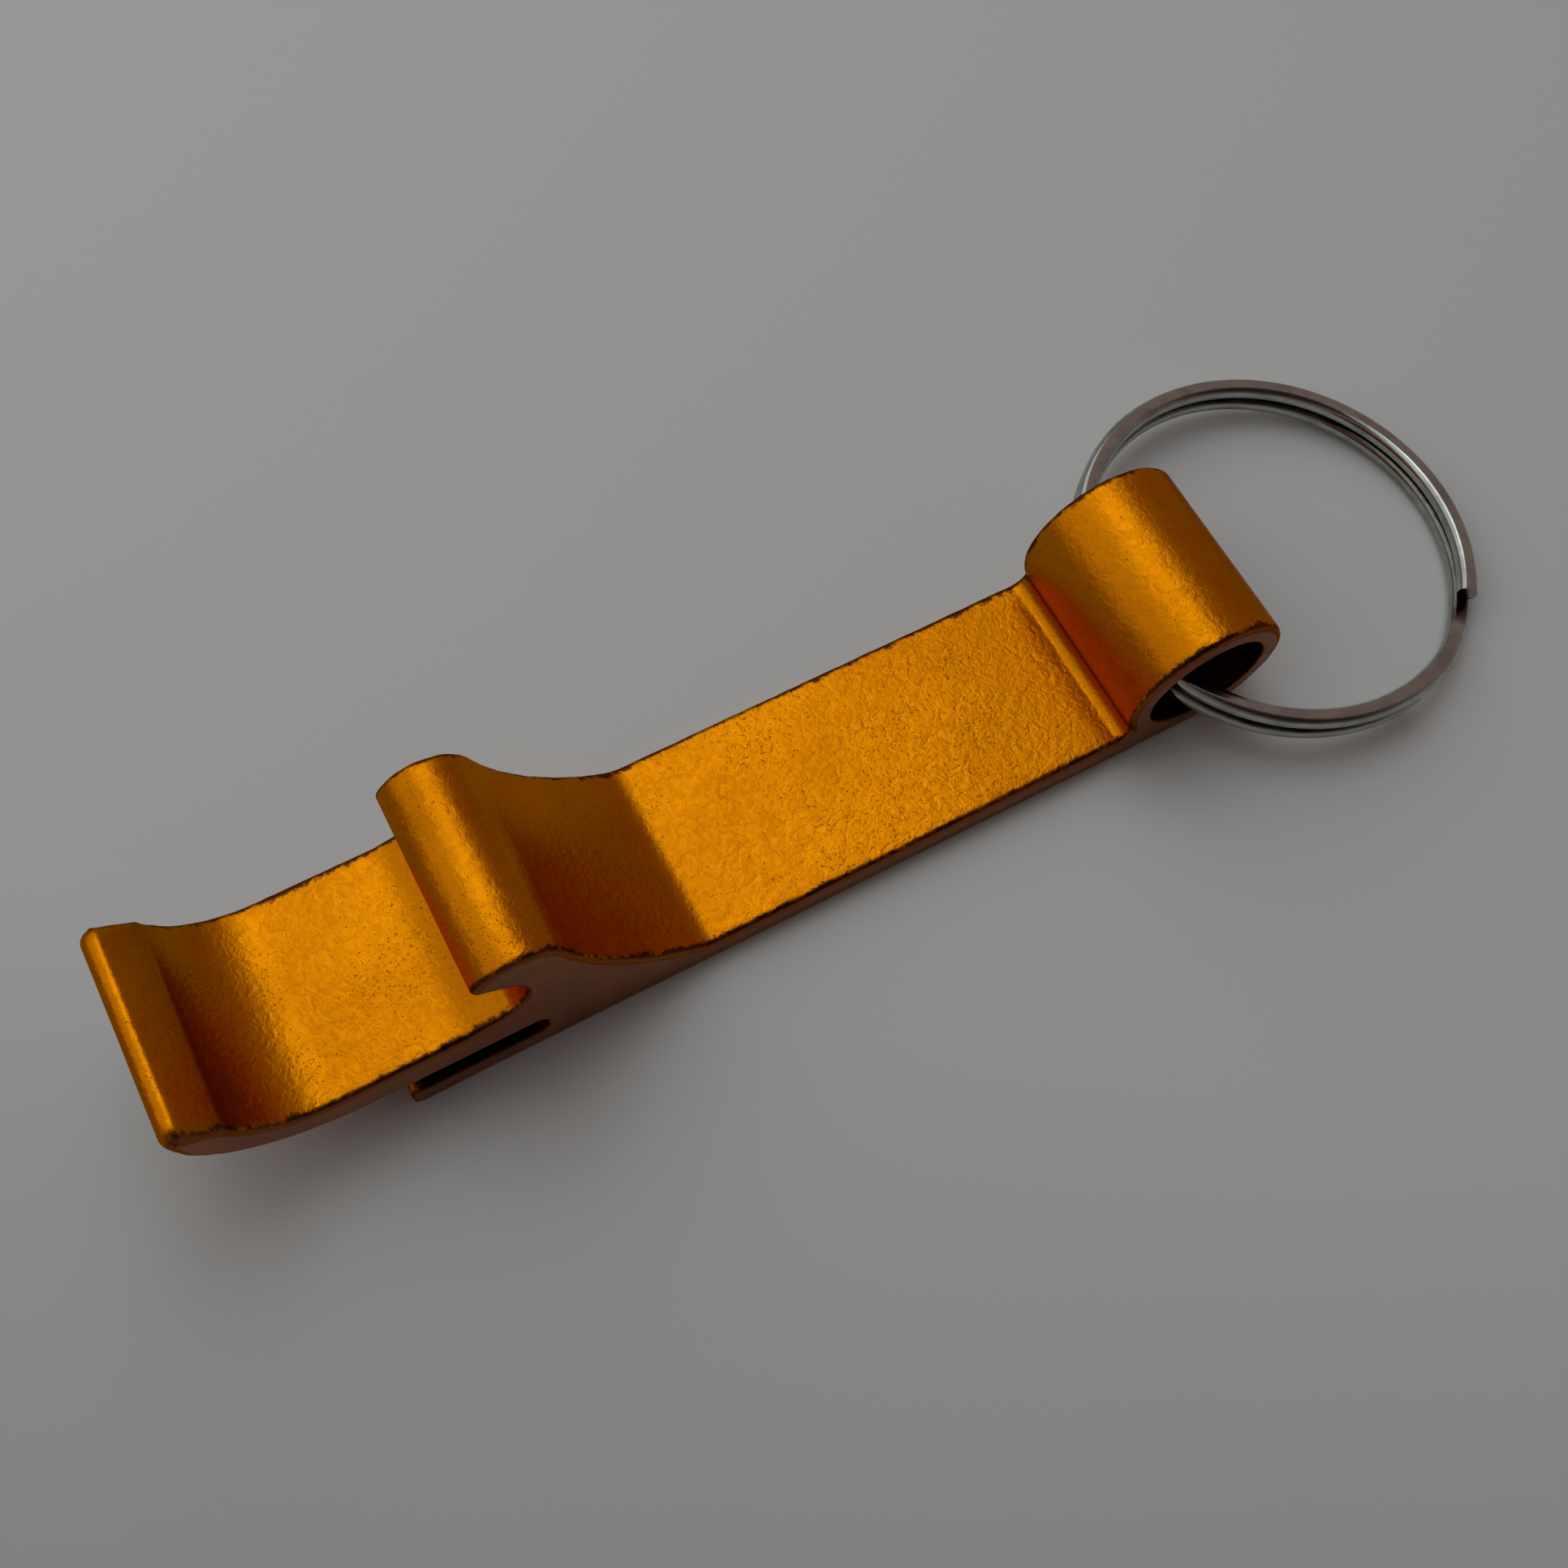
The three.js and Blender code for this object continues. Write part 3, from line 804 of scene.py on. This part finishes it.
# Node tree: the wire's path, its pressed section, and the sweep of one along the other.
def coilTree():
    inputs = [
        ("Geometry", "NodeSocketGeometry"),
        ("Outer diameter", "NodeSocketFloat"),
        ("Wire diameter", "NodeSocketFloat"),
        ("Flat depth", "NodeSocketFloat"),
        ("Coil gap", "NodeSocketFloat"),
        ("Top end", "NodeSocketFloat"),
        ("Step start", "NodeSocketFloat"),
        ("Step end", "NodeSocketFloat"),
        ("Bottom end", "NodeSocketFloat"),
        ("Path points", "NodeSocketInt"),
        ("Section points", "NodeSocketInt"),
        ("Finish", "NodeSocketMaterial"),
    ]
    tree, given, result = newNodeTree("coiled wire", inputs, [("Wire", "NodeSocketGeometry")])
    wireRadius = calc(tree, "MULTIPLY", given["Wire diameter"], 0.5)
    toFlat = calc(tree, "SUBTRACT", wireRadius, given["Flat depth"])
    rise = calc(tree, "MULTIPLY_ADD", given["Coil gap"], 0.5, toFlat)
    coilRadius = calc(tree, "SUBTRACT", calc(tree, "MULTIPLY", given["Outer diameter"], 0.5), wireRadius)

    line = addNode(tree, "GeometryNodeCurvePrimitiveLine").outputs[0]
    wires = {"Curve": line, "Count": given["Path points"]}
    path = addNode(tree, "GeometryNodeResampleCurve", wires).outputs[0]
    along = addNode(tree, "GeometryNodeSplineParameter").outputs["Factor"]
    angle = remap(tree, along, 0.0, 1.0, given["Top end"], given["Bottom end"])
    wires = {
        "Value": angle,
        "From Min": given["Step start"],
        "From Max": given["Step end"],
        "To Min": rise,
        "To Max": calc(tree, "MULTIPLY", rise, -1.0),
    }
    level = addNode(tree, "ShaderNodeMapRange", wires, interpolation_type="SMOOTHERSTEP").outputs[0]
    place = addNode(tree, "ShaderNodeCombineXYZ", {
        "X": calc(tree, "MULTIPLY", coilRadius, calc(tree, "COSINE", angle)),
        "Y": calc(tree, "MULTIPLY", coilRadius, calc(tree, "SINE", angle)),
        "Z": level,
    }).outputs[0]
    wound = addNode(tree, "GeometryNodeSetPosition", {"Geometry": path, "Position": place}).outputs[0]
    wires = {"Geometry": wound, "Name": "onCoil", "Value": calc(tree, "DIVIDE", level, rise)}
    wound = addNode(tree, "GeometryNodeStoreNamedAttribute", wires, data_type="FLOAT").outputs[0]
    wound = addNode(tree, "GeometryNodeSetCurveNormal", {"Curve": wound}, mode="Z_UP").outputs[0]

    wires = {"Resolution": given["Section points"], "Radius": wireRadius}
    circle = addNode(tree, "GeometryNodeCurvePrimitiveCircle", wires, mode="RADIUS").outputs[0]
    position = addNode(tree, "GeometryNodeInputPosition").outputs[0]
    parts = addNode(tree, "ShaderNodeSeparateXYZ", {0: position}).outputs
    below = calc(tree, "MULTIPLY", toFlat, -1.0)
    pressed = calc(tree, "MINIMUM", calc(tree, "MAXIMUM", parts["Y"], below), toFlat)
    flattened = addNode(tree, "ShaderNodeCombineXYZ", {"X": parts["X"], "Y": pressed}).outputs[0]
    wires = {"Geometry": circle, "Position": flattened}
    section = addNode(tree, "GeometryNodeSetPosition", wires).outputs[0]

    wires = {"Curve": wound, "Profile Curve": section, "Fill Caps": True}
    wire = addNode(tree, "GeometryNodeCurveToMesh", wires).outputs[0]
    # how far each point is from the gap between the coils, in millimetres
    height = calc(tree, "DIVIDE", calc(tree, "ABSOLUTE", parts["Z"]), mm)
    away = calc(tree, "SUBTRACT", 1.0, calc(tree, "ABSOLUTE", storedNumber(tree, "onCoil")))
    wires = {"Geometry": wire, "Name": "fromGap", "Value": calc(tree, "ADD", height, away)}
    wire = addNode(tree, "GeometryNodeStoreNamedAttribute", wires, data_type="FLOAT").outputs[0]
    whole = addNode(tree, "GeometryNodeRealizeInstances", {0: wire}).outputs[0]
    finished = addNode(tree, "GeometryNodeSetMaterial", {0: whole, "Material": given["Finish"]}).outputs[0]
    tree.links.new(finished, result.inputs["Wire"])
    layOut(tree)
    return tree


# The ring hangs on the eye's axis and leans down until its far side lies on the table.
def hangRing(ring, o):
    wireRadius = ring["wireDiameter"] / 2
    coilRadius = ring["outerDiameter"] / 2 - wireRadius
    coilRise = wireRadius - ring["flatDepth"] + ring["coilGap"] / 2
    seatRadius = o["boreDiameter"] / 2 - wireRadius - ring["seatClearance"]
    seat = onCircle(Vector((0, 0)), seatRadius, -90 - ring["seatAngle"])
    tilt = math.asin((eyeAxis.z + seat.y - wireRadius) / (2 * coilRadius))
    seatX = seat.x * math.cos(tilt) - seat.y * math.sin(tilt)
    seatZ = seat.x * math.sin(tilt) + seat.y * math.cos(tilt)
    own = Matrix.Translation(Vector((seatX + coilRadius, ring["sideShift"], seatZ + coilRise)) * mm)
    return Matrix.Translation(eyeAxis * mm) @ Matrix.Rotation(tilt, 4, "Y") @ own


def buildRing(ring, o):
    built = runTree(coilTree(), bpy.data.meshes.new("start"), {
        "Outer diameter": ring["outerDiameter"] * mm,
        "Wire diameter": ring["wireDiameter"] * mm,
        "Flat depth": ring["flatDepth"] * mm,
        "Coil gap": ring["coilGap"] * mm,
        "Top end": math.radians(ring["topEndAngle"]),
        "Step start": math.radians(ring["bottomEndAngle"] + 360),
        "Step end": math.radians(ring["topEndAngle"] + 360),
        "Bottom end": math.radians(ring["bottomEndAngle"] - ring["endGap"] + 720),
        "Path points": ring["pathPoints"],
        "Section points": ring["sectionPoints"],
        "Finish": nickel,
    })
    built.transform(hangRing(ring, o))
    shape = bmesh.new()
    shape.from_mesh(built)
    bmesh.ops.remove_doubles(shape, verts=shape.verts, dist=mergeDistance)
    bmesh.ops.recalc_face_normals(shape, faces=shape.faces)
    for face in shape.faces:
        face.smooth = len(face.verts) < 5
    shape.to_mesh(built)
    shape.free()
    return pieceFrom(built, "wound_ring")


wire = buildRing(splitRing, opener)
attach(wire, "ring")
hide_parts("split_ring")
print("split ring built:", len(wire.data.polygons), "faces")


floorLook = {
    "size": 1.2,  # metres
    "squares": 8,
    "below": 0.02,  # millimetres under the part, clear of the waves in its underside
    "colour": (0.60, 0.62, 0.61),
    "colourAway": (0.585, 0.605, 0.595),
    "shadeTowards": (-0.62, -0.79),  # painted shade: the paper darkens to this side, between these distances in metres
    "shadeReach": (0.012, 0.085),
    "shadeTone": 0.58,
    "cloudScale": 12,
    "fibreScale": 900,
    "fibreDepth": 0.02,  # millimetres
    "fibreStrength": 0.3,
    "roughness": (0.85, 0.95),
    "specular": 0.2,
}


def makeFloor(look):
    shape = bmesh.new()
    squares = look["squares"]
    bmesh.ops.create_grid(shape, x_segments=squares, y_segments=squares, size=look["size"] / 2)
    mesh = bpy.data.meshes.new("floor")
    shape.to_mesh(mesh)
    shape.free()
    mesh.transform(Matrix.Translation((0, 0, -look["below"] * mm)))
    floor = pieceFrom(mesh, "floor")
    material, tree, shader, place = newFinish("pale_paper")
    cloud = noise(tree, place, look["cloudScale"], 3)
    fibres = noise(tree, place, look["fibreScale"], 3)
    paper = mixColours(tree, cloud, look["colour"], look["colourAway"])
    # painted shade: the paper darkens towards the near left
    side = dotProduct(tree, place, (*look["shadeTowards"], 0))
    paintedFloorShade = remap(tree, side, *look["shadeReach"], 1.0, look["shadeTone"])
    tree.links.new(mixColours(tree, 1.0, paper, paintedFloorShade, "MULTIPLY"), shader.inputs["Base Color"])
    relief = bump(tree, fibres, look["fibreDepth"] * mm, look["fibreStrength"])
    tree.links.new(relief, shader.inputs["Normal"])
    tree.links.new(remap(tree, cloud, 0.3, 0.7, *look["roughness"]), shader.inputs["Roughness"])
    shader.inputs["Specular IOR Level"].default_value = look["specular"]
    layOut(tree)
    mesh.materials.append(material)


# Soft boxes: where each one is, seen from the opener, how far away and how large it is in metres,
# and its power in watts.
softBoxes = {
    "core": {"towards": (0.08, 0.36, 0.93), "away": 0.9, "size": (0.55, 0.55), "power": 0.84},
    "halo": {"towards": (-0.25, 0.50, 0.83), "away": 0.30, "size": (0.60, 0.52), "power": 0.46},
}
boxColour = (0.92, 1.03, 1.05)
# The room is dim: warm above, darker over the near side, and greyer low down, where it meets the floor.
roomLight = {
    "above": (0.25, 0.165, 0.15),
    "low": (0.205, 0.185, 0.176),
    "lowHeights": (0.08, 0.22),  # sines of the angles up, where the grey ends and the warm tone is full
    "dimTowards": (0.0, -0.64, 0.77),
    "dimReach": (0.55, 0.9),
    "dimmest": 0.12,
}


def makeLights(boxes, room):
    for name, box in boxes.items():
        towards = Vector(box["towards"]).normalized()
        data = bpy.data.lights.new(name, "AREA")
        data.shape = "ELLIPSE"
        data.size, data.size_y = box["size"]
        data.energy = box["power"]
        data.color = boxColour
        light = bpy.data.objects.new(name, data)
        turn = towards.to_track_quat("Z", "Y").to_matrix().to_4x4()
        light.matrix_world = Matrix.Translation(towards * box["away"]) @ turn
        bpy.context.scene.collection.objects.link(light)
    world = bpy.data.worlds.new("room")
    world.use_nodes = True
    tree = world.node_tree
    background = tree.nodes["Background"]
    towards = addNode(tree, "ShaderNodeTexCoord").outputs["Generated"]
    height = addNode(tree, "ShaderNodeSeparateXYZ", {0: towards}).outputs["Z"]
    colour = mixColours(tree, remap(tree, height, *room["lowHeights"]), room["low"], room["above"])
    tree.links.new(colour, background.inputs["Color"])
    facing = dotProduct(tree, towards, room["dimTowards"])
    strength = remap(tree, facing, *room["dimReach"], 1.0, room["dimmest"])
    tree.links.new(strength, background.inputs["Strength"])
    layOut(tree)
    bpy.context.scene.world = world
    bpy.context.scene.view_settings.view_transform = "Standard"


makeFloor(floorLook)
makeLights(softBoxes, roomLight)
print("floor and light set")
